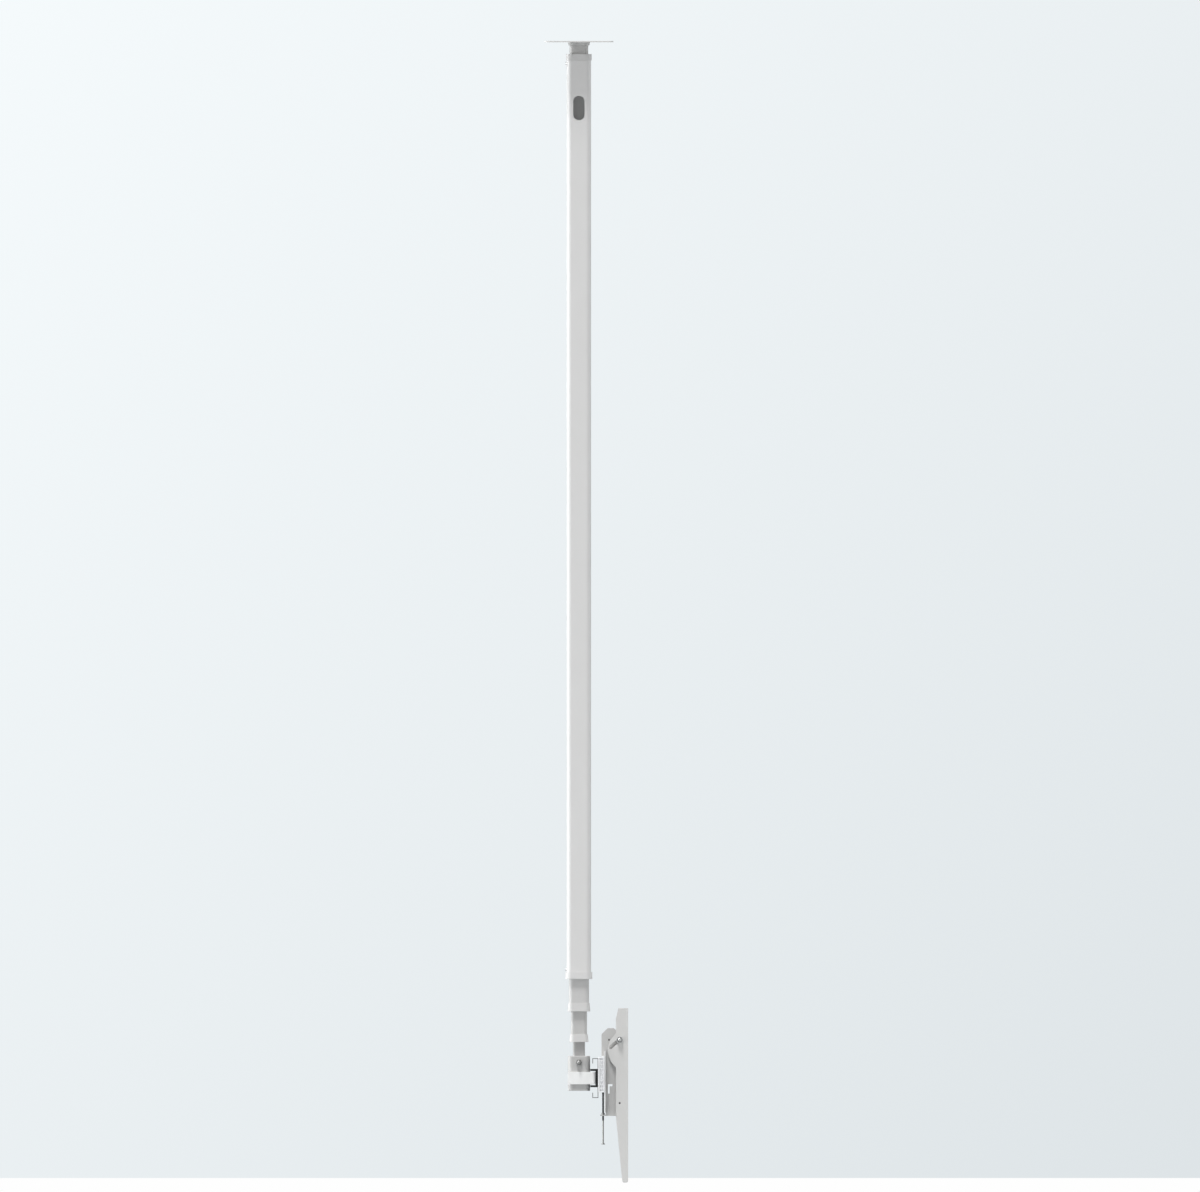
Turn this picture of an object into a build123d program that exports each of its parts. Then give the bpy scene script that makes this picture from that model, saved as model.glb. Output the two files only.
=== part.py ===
from build123d import *
import math
import os

# Telescopic television ceiling mount, in millimetres.
# The origin is the middle of the ceiling plate's top face, +Z is up and the screen looks along -Y.

# Clearances
seat_gap = 0.1
slide_gap = 0.4
turn_gap = 0.05
loose_gap = 0.3
side_gap = 0.5

# Ceiling plate and the stub welded under it
plate_width = 170.0
plate_thickness = 3.0
plate_corner = 12.0
plate_hole_spacing = 130.0
plate_hole_radius = 5.5
stub_width = 46.0
stub_corner = 9.0
stub_length = 122.0
foot_height = 8.0
foot_rim = 4.5
foot_step = 2.5

# Nested square tubes
outer_width = 60.0
outer_corner = 12.0
tube_wall = 2.0
nest_gap = 3.0
outer_length = 2267.5
second_length = 1500.0
third_length = 1500.0
fourth_length = 1500.0
second_show = 59.0
third_show = 56.0
fourth_show = 34.0
guide_height = 40.0
guide_lip = 3.0

# Cable way: holes at both ends of the pole and an oblong slot in one side of the outer tube
cable_hole_radius = 11.0
cable_slot_drop = 165.0
cable_slot_width = 28.0
cable_slot_height = 60.0

# Collars on the ends of the tubes
top_collar_drop = 32.0
top_collar_height = 16.0
top_collar_rim = 1.5
outer_collar_height = 17.0
outer_collar_rim = 3.0
second_collar_height = 21.0
second_collar_rim = 1.5
third_collar_height = 19.0
third_collar_rim = 2.0
collar_flare = 1.5
collar_web = 4.0
peg_radius = 3.0

# Lock screws of the pole
screw_radius = 2.5
screw_head_radius = 4.5
screw_head_height = 3.0
screw_head_slope = 20.0
screw_socket_radius = 1.3
screw_socket_depth = 1.5
screw_offset = 7.0

# Swivel sleeve on the end of the fourth tube
sleeve_width = 55.0
sleeve_corner = 12.0
sleeve_height = 86.0
sleeve_edge = 1.0
bush_wall = 1.5
ring_rim = 3.0
ring_thickness = 4.0
ring_recess = 4.0

# Hexagon bolts of the head
bolt_radius = 4.0
bolt_hex_radius = 7.5
bolt_hex_height = 5.5
lock_bolt_drop = 16.0
lock_bolt_stand = 14.0
lock_bolt_edge = 1.0
yoke_bolt_spacing = 28.0

# Strap and yoke between the sleeve and the cross rail
strap_drop = 39.5
strap_height = 30.5
strap_wall = 4.0
strap_reach = 41.0
strap_bend = 5.0
yoke_height = 45.0
yoke_width = 52.0
yoke_web = 5.0
yoke_flange = 5.0
yoke_depth = 18.0

# Cross rail: lipped channel, box and hook plate
rail_length = 460.0
rail_wall = 2.0
channel_height = 98.0
channel_depth = 15.0
channel_lip = 13.0
box_rise = 52.0
box_height = 87.0
box_depth = 15.0
cap_thickness = 2.5
cap_plug = 10.0
hook_plate_rise = 66.0
hook_plate_height = 150.0
hook_plate_thickness = 2.5

# Arms that carry the screen
arm_spacing = 400.0
arm_width = 40.0
arm_wall = 2.0
arm_length = 429.0
arm_rise = 106.0
arm_reach = 55.5
arm_depth = 30.0
arm_top_cut = 6.0
arm_top_cut_height = 25.0
arm_taper = 16.0
arm_taper_height = 163.0
arm_corner = 4.0
screen_hole_radius = 4.25
screen_hole_pitch = 50.0
screen_hole_count = 9
ear_reach = 19.5
ear_start = 61.0
ear_shoulder = 13.6
ear_shoulder_drop = 78.5
ear_middle_drop = 108.0
ear_end_drop = 145.0

# Tilt about a line in front of the screen, level with the middle of the arms
tilt_range = 10.0
tilt_axis_reach = 73.0
tilt_bolt_radius = 4.0
tilt_bolt_drop = 78.0
tilt_bolt_inset = 20.6
tilt_bolt_end = 5.0
tilt_hex_radius = 7.5
tilt_hex_height = 5.5
washer_radius = 8.5
washer_thickness = 1.5
guide_pin_radius = 2.5
guide_pin_drop = 233.5

# Hook bracket that hangs on the plate of the rail
bracket_wall = 2.5
bracket_gap = 5.0
hook_leg = 7.0
hook_leg_drop = 12.0
hook_rise = 57.0
hook_chamfer = 15.0
hook_top_length = 15.5
hook_corner = 5.0
hook_rivet_radius = 2.5
hook_rivet_inset = 18.3
hook_rivet_drop = 29.0
bracket_corner = 5.0
bracket_nose_drop = 20.0
bracket_front_inset = 8.5
bracket_low_inset = 14.5
bracket_low_height = 44.0
web_top_drop = 18.0
tab_drop = 6.0
tab_thickness = 3.0
tab_reach = 13.5
window_inset = 5.8
window_length = 11.0
window_bar = 5.0
window_leg = 4.0
window_height = 23.0
window_drop = 15.0

# Lock screw that keeps the hook from lifting off
lock_radius = 2.5
lock_thread_length = 70.0
lock_rod_radius = 1.8
lock_length = 128.0
lock_head_radius = 4.6
lock_head_height = 2.5
lock_inset = 3.5
lock_nut_radius = 4.6
lock_nut_height = 4.5

os.makedirs("parts", exist_ok=True)


def save(piece, name):
    """Label a finished piece and write it as one STEP file."""
    piece.part.label = name
    export_step(piece.part, f"parts/{name}.step")


# Sizes and heights that follow from the driving values
nest_step = tube_wall + nest_gap
second_width = outer_width - 2 * nest_step
third_width = second_width - 2 * nest_step
fourth_width = third_width - 2 * nest_step
second_corner = outer_corner - tube_wall
third_corner = second_corner - tube_wall
fourth_corner = third_corner - tube_wall

outer_top = -top_collar_drop - collar_web
outer_bottom = outer_top - outer_length
outer_collar_bottom = outer_bottom - collar_web
second_collar_top = outer_collar_bottom - second_show
second_collar_bottom = second_collar_top - second_collar_height
second_bottom = second_collar_bottom + collar_web
third_collar_top = second_collar_bottom - third_show
third_collar_bottom = third_collar_top - third_collar_height
third_bottom = third_collar_bottom + collar_web
sleeve_top = third_collar_bottom - fourth_show
sleeve_bottom = sleeve_top - sleeve_height
sleeve_shoulder = sleeve_bottom + ring_thickness + ring_recess
fourth_bottom = sleeve_shoulder - loose_gap
strap_top = sleeve_top - strap_drop
head_z = strap_top - strap_height / 2

channel_back = -strap_reach - yoke_web
box_back = channel_back - rail_wall
hook_plate_back = box_back - box_depth
hook_plate_front = hook_plate_back - hook_plate_thickness
box_top = head_z + box_rise
box_bottom = box_top - box_height
hook_plate_top = head_z + hook_plate_rise
hook_plate_bottom = hook_plate_top - hook_plate_height

arm_top = hook_plate_top + arm_rise
arm_bottom = arm_top - arm_length
arm_face = hook_plate_front - arm_reach
arm_inside = arm_face + arm_wall
arm_back = arm_face + arm_depth
tilt_axis_y = arm_face - tilt_axis_reach
tilt_axis_z = arm_top - arm_length / 2
tilt_bolt_y = arm_face + tilt_bolt_inset
tilt_bolt_z = arm_top - tilt_bolt_drop
guide_pin_z = arm_top - guide_pin_drop


def tube_plane(side_x, side_y, width, height):
    """Plane on the side of a square tube: its x runs up the tube and its normal points outwards."""
    origin = (side_x * width / 2, side_y * width / 2, height)
    return Plane(origin=origin, x_dir=(0, 0, 1), z_dir=(side_x, side_y, 0))


# Ceiling plate with four bolt holes and a cable hole in the middle
with BuildPart() as ceiling_plate:
    with BuildSketch(Plane.XY.offset(-plate_thickness)):
        RectangleRounded(plate_width, plate_width, plate_corner)
        with GridLocations(plate_hole_spacing, plate_hole_spacing, 2, 2):
            Circle(plate_hole_radius, mode=Mode.SUBTRACT)
        Circle(cable_hole_radius, mode=Mode.SUBTRACT)
    extrude(amount=plate_thickness)
save(ceiling_plate, "ceiling_plate")

# Screws that hold the outer tube on the stub, one at the back and one on the far side
stub_screw_z = -top_collar_drop - top_collar_height - screw_offset
stub_gap = (outer_width - stub_width) / 2
stub_screw_planes = [
    tube_plane(0, 1, outer_width, stub_screw_z),
    tube_plane(1, 0, outer_width, stub_screw_z),
]

# Stub tube with a stepped foot under the plate
stub_inside = stub_width - 2 * tube_wall
with BuildPart() as ceiling_stub:
    for level, rim in ((-plate_thickness, foot_rim), (-plate_thickness - foot_height, foot_step)):
        with BuildSketch(Plane.XY.offset(level)):
            foot_width = stub_width + 2 * rim
            RectangleRounded(foot_width, foot_width, stub_corner + rim)
    loft()
    with BuildSketch(Plane.XY.offset(-plate_thickness - foot_height)):
        RectangleRounded(stub_width, stub_width, stub_corner)
    extrude(amount=foot_height - stub_length)
    with BuildSketch(Plane.XY.offset(-plate_thickness)):
        RectangleRounded(stub_inside, stub_inside, stub_corner - tube_wall)
    extrude(amount=-stub_length, mode=Mode.SUBTRACT)
    for screw_plane in stub_screw_planes:
        with BuildSketch(screw_plane.offset(-stub_gap)):
            Circle(screw_radius + seat_gap)
        extrude(amount=-2 * tube_wall, mode=Mode.SUBTRACT)
save(ceiling_stub, "ceiling_stub")


def peg_planes(width, level):
    """Planes on the four sides of a tube at the height of its snap pegs."""
    return [tube_plane(*side, width, level) for side in ((1, 0), (0, 1), (-1, 0), (0, -1))]


def drill_pegs(tube, width, levels):
    """Tube with holes for snap pegs in its four sides at each level."""
    with BuildPart() as drilled:
        add(tube.part)
        for level in levels:
            for plane in peg_planes(width, level):
                with BuildSketch(plane):
                    Circle(peg_radius + seat_gap)
                extrude(amount=-2 * tube_wall, mode=Mode.SUBTRACT)
    return drilled


def add_pegs(ring, width, level):
    """Ring with four snap pegs that reach into the holes of the tube inside it."""
    with BuildPart() as pegged:
        add(ring.part)
        for plane in peg_planes(width + 2 * seat_gap, level):
            with BuildSketch(plane):
                Circle(peg_radius)
            extrude(amount=-tube_wall)
    return pegged


def make_collar(top, height, top_rim, bottom_rim, tube, passage, web_on_top=False):
    """Collar on a tube's end: a pocket for the tube, a web with a hole for the next tube, and pegs."""
    tube_size, tube_round = tube
    passage_size, passage_round = passage
    bottom = top - height
    pocket_bottom = bottom if web_on_top else bottom + collar_web
    with BuildPart() as collar:
        for level, rim in ((bottom, bottom_rim), (top, top_rim)):
            with BuildSketch(Plane.XY.offset(level)):
                RectangleRounded(tube_size + 2 * rim, tube_size + 2 * rim, tube_round + rim)
        loft()
        with BuildSketch(Plane.XY.offset(pocket_bottom)):
            pocket = tube_size + 2 * seat_gap
            RectangleRounded(pocket, pocket, tube_round + seat_gap)
        extrude(amount=height - collar_web, mode=Mode.SUBTRACT)
        with BuildSketch(Plane.XY.offset(bottom)):
            RectangleRounded(passage_size, passage_size, passage_round)
        extrude(amount=height, mode=Mode.SUBTRACT)
    return add_pegs(collar, tube_size, pocket_bottom + (height - collar_web) / 2)


def make_tube(width, corner, bottom, length):
    """Square tube with rounded corners, standing on the given level."""
    inside = width - 2 * tube_wall
    with BuildPart() as tube:
        with BuildSketch(Plane.XY.offset(bottom)):
            RectangleRounded(width, width, corner)
            RectangleRounded(inside, inside, corner - tube_wall, mode=Mode.SUBTRACT)
        extrude(amount=length)
    return tube


def drill_side(tube, plane, radius):
    """Tube with a round hole through the wall that lies under the plane."""
    with BuildPart() as drilled:
        add(tube.part)
        with BuildSketch(plane):
            Circle(radius)
        extrude(amount=-2 * tube_wall, mode=Mode.SUBTRACT)
    return drilled


def make_screw(planes, length):
    """Button-head screws whose heads stand on the planes, with hexagon sockets."""
    with BuildPart() as screws:
        for plane in planes:
            with BuildSketch(plane):
                Circle(screw_head_radius)
            extrude(amount=screw_head_height, taper=screw_head_slope)
            with BuildSketch(plane.offset(screw_head_height)):
                RegularPolygon(screw_socket_radius, 6)
            extrude(amount=-screw_socket_depth, mode=Mode.SUBTRACT)
            with BuildSketch(plane):
                Circle(screw_radius)
            extrude(amount=-length)
    return screws


def make_guide(tube_top, inside, inside_corner, width, corner, gap):
    """Plastic ring on a tube's end that centres it in the tube around it."""
    ring_width = inside - 2 * gap
    seat = width + 2 * seat_gap
    throat = width - 2 * tube_wall
    with BuildPart() as guide:
        with BuildSketch(Plane.XY.offset(tube_top - guide_height)):
            RectangleRounded(ring_width, ring_width, inside_corner - gap)
            RectangleRounded(seat, seat, corner + seat_gap, mode=Mode.SUBTRACT)
        extrude(amount=guide_height)
        with BuildSketch(Plane.XY.offset(tube_top)):
            RectangleRounded(ring_width, ring_width, inside_corner - gap)
            RectangleRounded(throat, throat, corner - tube_wall, mode=Mode.SUBTRACT)
        extrude(amount=guide_lip)
    return add_pegs(guide, width, tube_top - guide_height / 2)


# Heights of the snap pegs in each tube
top_peg_z = -top_collar_drop - collar_web - (top_collar_height - collar_web) / 2
outer_peg_z = outer_bottom + (outer_collar_height - collar_web) / 2
second_peg_z = second_bottom + (second_collar_height - collar_web) / 2
third_peg_z = third_bottom + (third_collar_height - collar_web) / 2

# Top collar over the upper end of the outer tube
stub_seat = stub_width + 2 * seat_gap
stub_passage = (stub_seat, stub_corner + seat_gap)
outer_size = (outer_width, outer_corner)
top_collar = make_collar(
    -top_collar_drop, top_collar_height, top_collar_rim, top_collar_rim, outer_size, stub_passage, True
)
save(top_collar, "top_collar")

# Spacer ring at the lower end of the stub
outer_inside = outer_width - 2 * tube_wall
stub_bottom = -plate_thickness - stub_length
with BuildPart() as stub_spacer:
    with BuildSketch(Plane.XY.offset(stub_bottom - guide_lip)):
        spacer_width = outer_inside - 2 * seat_gap
        RectangleRounded(spacer_width, spacer_width, second_corner - seat_gap)
    extrude(amount=guide_height / 2 + guide_lip)
    with BuildSketch(Plane.XY.offset(stub_bottom)):
        RectangleRounded(stub_seat, stub_seat, stub_corner + seat_gap)
    extrude(amount=guide_height / 2, mode=Mode.SUBTRACT)
    with BuildSketch(Plane.XY.offset(stub_bottom - guide_lip)):
        RectangleRounded(stub_inside, stub_inside, stub_corner - tube_wall)
    extrude(amount=guide_lip, mode=Mode.SUBTRACT)
save(stub_spacer, "stub_spacer")

# Outer tube with its cable slot, and the screws through its wall
outer_lock_plane = tube_plane(0, 1, outer_width, outer_collar_bottom + outer_collar_height + screw_offset)
outer_plain = make_tube(outer_width, outer_corner, outer_bottom, outer_length)
outer_blank = drill_pegs(outer_plain, outer_width, (top_peg_z, outer_peg_z))
with BuildPart() as outer_tube:
    add(outer_blank.part)
    with BuildSketch(tube_plane(-1, 0, outer_width, -cable_slot_drop)):
        SlotOverall(cable_slot_height, cable_slot_width)
    extrude(amount=-2 * tube_wall, mode=Mode.SUBTRACT)
    for screw_plane in (*stub_screw_planes, outer_lock_plane):
        with BuildSketch(screw_plane):
            Circle(screw_radius + seat_gap)
        extrude(amount=-2 * tube_wall, mode=Mode.SUBTRACT)
save(outer_tube, "outer_tube")

stub_screws = make_screw(stub_screw_planes, stub_gap + 2 * tube_wall)
save(stub_screws, "stub_screws")

lock_screw_length = nest_step - loose_gap
outer_lock_screw = make_screw([outer_lock_plane], lock_screw_length)
save(outer_lock_screw, "outer_lock_screw")

# Collar at the lower end of the outer tube
second_passage = (second_width + 2 * slide_gap, second_corner + slide_gap)
outer_collar = make_collar(
    outer_bottom + outer_collar_height - collar_web,
    outer_collar_height,
    outer_collar_rim,
    outer_collar_rim,
    outer_size,
    second_passage,
)
save(outer_collar, "outer_collar")

# Second section
second_lock_plane = tube_plane(1, 0, second_width, second_collar_top + screw_offset)
second_plain = make_tube(second_width, second_corner, second_bottom, second_length)
second_top_peg_z = second_bottom + second_length - guide_height / 2
second_blank = drill_pegs(second_plain, second_width, (second_peg_z, second_top_peg_z))
second_tube = drill_side(second_blank, second_lock_plane, screw_radius + seat_gap)
save(second_tube, "second_tube")

second_lock_screw = make_screw([second_lock_plane], lock_screw_length)
save(second_lock_screw, "second_lock_screw")

second_guide = make_guide(
    second_bottom + second_length, outer_inside, second_corner, second_width, second_corner, slide_gap
)
save(second_guide, "second_guide")

third_passage = (third_width + 2 * slide_gap, third_corner + slide_gap)
second_collar = make_collar(
    second_collar_top,
    second_collar_height,
    second_collar_rim,
    second_collar_rim + collar_flare,
    (second_width, second_corner),
    third_passage,
)
save(second_collar, "second_collar")

# Third section
third_lock_plane = tube_plane(1, 0, third_width, third_collar_top + screw_offset)
third_plain = make_tube(third_width, third_corner, third_bottom, third_length)
third_top_peg_z = third_bottom + third_length - guide_height / 2
third_blank = drill_pegs(third_plain, third_width, (third_peg_z, third_top_peg_z))
third_tube = drill_side(third_blank, third_lock_plane, screw_radius + seat_gap)
save(third_tube, "third_tube")

third_lock_screw = make_screw([third_lock_plane], lock_screw_length)
save(third_lock_screw, "third_lock_screw")

second_inside = second_width - 2 * tube_wall
third_guide = make_guide(
    third_bottom + third_length, second_inside, third_corner, third_width, third_corner, slide_gap
)
save(third_guide, "third_guide")

fourth_passage = (fourth_width + 2 * slide_gap, fourth_corner + slide_gap)
third_collar = make_collar(
    third_collar_top,
    third_collar_height,
    third_collar_rim,
    third_collar_rim + collar_flare,
    (third_width, third_corner),
    fourth_passage,
)
save(third_collar, "third_collar")

# Fourth section, which carries the swivel
fourth_plain = make_tube(fourth_width, fourth_corner, fourth_bottom, fourth_length)
fourth_tube = drill_pegs(fourth_plain, fourth_width, [fourth_bottom + fourth_length - guide_height / 2])
save(fourth_tube, "fourth_tube")

third_inside = third_width - 2 * tube_wall
fourth_guide = make_guide(
    fourth_bottom + fourth_length, third_inside, fourth_corner, fourth_width, fourth_corner, slide_gap
)
save(fourth_guide, "fourth_guide")

# Round bush on the square tube: the sleeve turns on it
bush_radius = (fourth_width / 2 - fourth_corner) * math.sqrt(2) + fourth_corner + bush_wall
with BuildPart() as swivel_bush:
    with BuildSketch(Plane.XY.offset(fourth_bottom)):
        Circle(bush_radius)
        bush_seat = fourth_width + 2 * seat_gap
        RectangleRounded(bush_seat, bush_seat, fourth_corner + seat_gap, mode=Mode.SUBTRACT)
    extrude(amount=sleeve_top - fourth_bottom)
save(swivel_bush, "swivel_bush")

# Ring welded to the end of the tube: the sleeve rests on it
ring_radius = bush_radius + ring_rim
with BuildPart() as retaining_ring:
    with BuildSketch(Plane.XY.offset(fourth_bottom)):
        Circle(ring_radius)
        Circle(cable_hole_radius, mode=Mode.SUBTRACT)
    extrude(amount=-ring_thickness)
save(retaining_ring, "retaining_ring")

# Swivel sleeve with its bore, its recess for the ring and a hole for the lock bolt
lock_bolt_plane = tube_plane(-1, 0, sleeve_width, sleeve_top - lock_bolt_drop)
with BuildPart() as swivel_sleeve:
    with BuildSketch(Plane.XY.offset(sleeve_bottom)):
        RectangleRounded(sleeve_width, sleeve_width, sleeve_corner)
    extrude(amount=sleeve_height)
    chamfer(faces().sort_by(Axis.Z)[-1].edges(), sleeve_edge)
    chamfer(faces().sort_by(Axis.Z)[0].edges(), sleeve_edge)
    with BuildSketch(Plane.XY.offset(sleeve_bottom)):
        Circle(bush_radius + turn_gap)
    extrude(amount=sleeve_height, mode=Mode.SUBTRACT)
    with BuildSketch(Plane.XY.offset(sleeve_bottom)):
        Circle(ring_radius + side_gap)
    extrude(amount=sleeve_shoulder - sleeve_bottom, mode=Mode.SUBTRACT)
    with BuildSketch(lock_bolt_plane):
        Circle(bolt_radius + seat_gap)
    extrude(amount=-sleeve_width / 2, mode=Mode.SUBTRACT)
save(swivel_sleeve, "swivel_sleeve")

# Lock bolt that presses on the bush, and its nut on the sleeve
with BuildPart() as swivel_lock_bolt:
    with BuildSketch(lock_bolt_plane.offset(lock_bolt_stand)):
        Circle(bolt_radius)
    extrude(amount=bush_radius + loose_gap - sleeve_width / 2 - lock_bolt_stand)
    chamfer(faces().sort_by(Axis.X)[0].edges(), lock_bolt_edge)
save(swivel_lock_bolt, "swivel_lock_bolt")

with BuildPart() as swivel_lock_nut:
    with BuildSketch(lock_bolt_plane):
        RegularPolygon(bolt_hex_radius, 6)
        Circle(bolt_radius + seat_gap, mode=Mode.SUBTRACT)
    extrude(amount=bolt_hex_height)
save(swivel_lock_nut, "swivel_lock_nut")

# Yoke bolts run along Y through strap, yoke, channel and box
yoke_bolt_places = GridLocations(yoke_bolt_spacing, 1, 2, 1).local_locations


def drill_yoke_bolts(blank, y, depth):
    """Piece with the two yoke bolt holes, cut forwards from the given place."""
    with BuildPart() as drilled:
        add(blank.part)
        with BuildSketch(Plane(origin=(0, y, head_z), x_dir=(1, 0, 0), z_dir=(0, 1, 0))):
            with Locations(yoke_bolt_places):
                Circle(bolt_radius + seat_gap)
        extrude(amount=-depth, mode=Mode.SUBTRACT)
    return drilled


# Strap bent round the sleeve
strap_base = -strap_reach + strap_wall
with BuildPart() as swivel_bracket_blank:
    with BuildSketch(Plane.XY.offset(strap_top - strap_height)):
        with Locations((0, (sleeve_width / 2 - strap_reach) / 2)):
            Rectangle(sleeve_width + 2 * strap_wall, sleeve_width / 2 + strap_reach)
        with Locations((0, (sleeve_width / 2 + strap_base) / 2)):
            Rectangle(sleeve_width, sleeve_width / 2 - strap_base, mode=Mode.SUBTRACT)
    extrude(amount=strap_height)
    fillet(edges().filter_by(Axis.Z).group_by(Axis.Y)[0], strap_bend)
swivel_bracket = drill_yoke_bolts(swivel_bracket_blank, strap_base, strap_wall)
save(swivel_bracket, "swivel_bracket")

# Yoke: block with a pocket at the back that holds the strap's base
with BuildPart() as yoke_blank:
    with BuildSketch(Plane.YZ):
        with Locations((channel_back + yoke_depth / 2, head_z)):
            Rectangle(yoke_depth, yoke_height)
        with Locations((channel_back + yoke_web + yoke_depth / 2, head_z)):
            Rectangle(yoke_depth, yoke_height - 2 * yoke_flange, mode=Mode.SUBTRACT)
    extrude(amount=yoke_width / 2, both=True)
yoke = drill_yoke_bolts(yoke_blank, channel_back + yoke_web, yoke_web)
save(yoke, "yoke")

# Lipped channel at the back of the rail
with BuildPart() as rail_channel_blank:
    with BuildSketch(Plane.YZ):
        channel_middle = box_back + channel_depth / 2
        with Locations((channel_middle, head_z)):
            Rectangle(channel_depth, channel_height)
            Rectangle(channel_depth - 2 * rail_wall, channel_height - 2 * rail_wall, mode=Mode.SUBTRACT)
        with Locations((channel_middle + rail_wall, head_z)):
            Rectangle(channel_depth, channel_height - 2 * channel_lip, mode=Mode.SUBTRACT)
    extrude(amount=rail_length / 2, both=True)
rail_channel = drill_yoke_bolts(rail_channel_blank, channel_back, rail_wall)
save(rail_channel, "rail_channel")

# Box section in the middle of the rail
box_middle = (box_back - box_depth / 2, box_top - box_height / 2)
with BuildPart() as rail_box_blank:
    with BuildSketch(Plane.YZ):
        with Locations(box_middle):
            Rectangle(box_depth, box_height)
            Rectangle(box_depth - 2 * rail_wall, box_height - 2 * rail_wall, mode=Mode.SUBTRACT)
    extrude(amount=rail_length / 2, both=True)
rail_box = drill_yoke_bolts(rail_box_blank, box_back, rail_wall)
save(rail_box, "rail_box")

# Flat plate at the front: the hooks hang on its top edge
with BuildPart() as rail_plate:
    with BuildSketch(Plane.YZ):
        with Locations((hook_plate_back - hook_plate_thickness / 2, hook_plate_top - hook_plate_height / 2)):
            Rectangle(hook_plate_thickness, hook_plate_height)
    extrude(amount=rail_length / 2, both=True)
save(rail_plate, "rail_plate")

# Bolts with their heads behind the strap's base and nuts inside the box
head_plane = Plane(origin=(0, strap_base, head_z), x_dir=(1, 0, 0), z_dir=(0, 1, 0))
nut_plane = Plane(origin=(0, box_back - rail_wall, head_z), x_dir=(1, 0, 0), z_dir=(0, -1, 0))
with BuildPart() as yoke_bolts:
    with BuildSketch(head_plane):
        with Locations(yoke_bolt_places):
            RegularPolygon(bolt_hex_radius, 6)
    extrude(amount=bolt_hex_height)
    with BuildSketch(head_plane):
        with Locations(yoke_bolt_places):
            Circle(bolt_radius)
    extrude(amount=-(strap_wall + yoke_web + 2 * rail_wall + bolt_hex_height))
save(yoke_bolts, "yoke_bolts")

with BuildPart() as yoke_nuts:
    with BuildSketch(nut_plane):
        with Locations(yoke_bolt_places):
            RegularPolygon(bolt_hex_radius, 6)
            Circle(bolt_radius + seat_gap, mode=Mode.SUBTRACT)
    extrude(amount=bolt_hex_height)
save(yoke_nuts, "yoke_nuts")


def make_end_cap(side):
    """Plastic cap that closes one end of the rail's box."""
    with BuildPart() as cap:
        end_plane = Plane(origin=(side * rail_length / 2, *box_middle), x_dir=(0, 1, 0), z_dir=(side, 0, 0))
        with BuildSketch(end_plane):
            Rectangle(box_depth, box_height)
        extrude(amount=cap_thickness)
        plug_trim = 2 * (rail_wall + seat_gap)
        with BuildSketch(end_plane):
            Rectangle(box_depth - plug_trim, box_height - plug_trim)
        extrude(amount=-cap_plug)
    return cap


# Places of the two arc slots, measured round the tilt axis
tilt_axis = (tilt_axis_y, tilt_axis_z)
bolt_swing = math.hypot(tilt_bolt_y - tilt_axis_y, tilt_bolt_z - tilt_axis_z)
bolt_angle = math.degrees(math.atan2(tilt_bolt_z - tilt_axis_z, tilt_bolt_y - tilt_axis_y))
pin_swing = math.hypot(tilt_bolt_y - tilt_axis_y, guide_pin_z - tilt_axis_z)
pin_angle = math.degrees(math.atan2(guide_pin_z - tilt_axis_z, tilt_bolt_y - tilt_axis_y))
bolt_slot_line = CenterArc(tilt_axis, bolt_swing, bolt_angle - tilt_range, tilt_range)
pin_slot_line = CenterArc(tilt_axis, pin_swing, pin_angle, tilt_range)
bracket_width = arm_width - 2 * arm_wall - 2 * bracket_gap
bracket_back = hook_plate_front - loose_gap
hook_top = hook_plate_top + hook_rise
slot_back = hook_plate_back + loose_gap
hook_back = slot_back + hook_leg
hook_rivet_y = hook_back - hook_rivet_inset
hook_rivet_z = hook_top - hook_rivet_drop
tab_top = hook_plate_bottom - tab_drop
tab_bottom = tab_top - tab_thickness
lock_y = hook_plate_back + lock_inset


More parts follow.
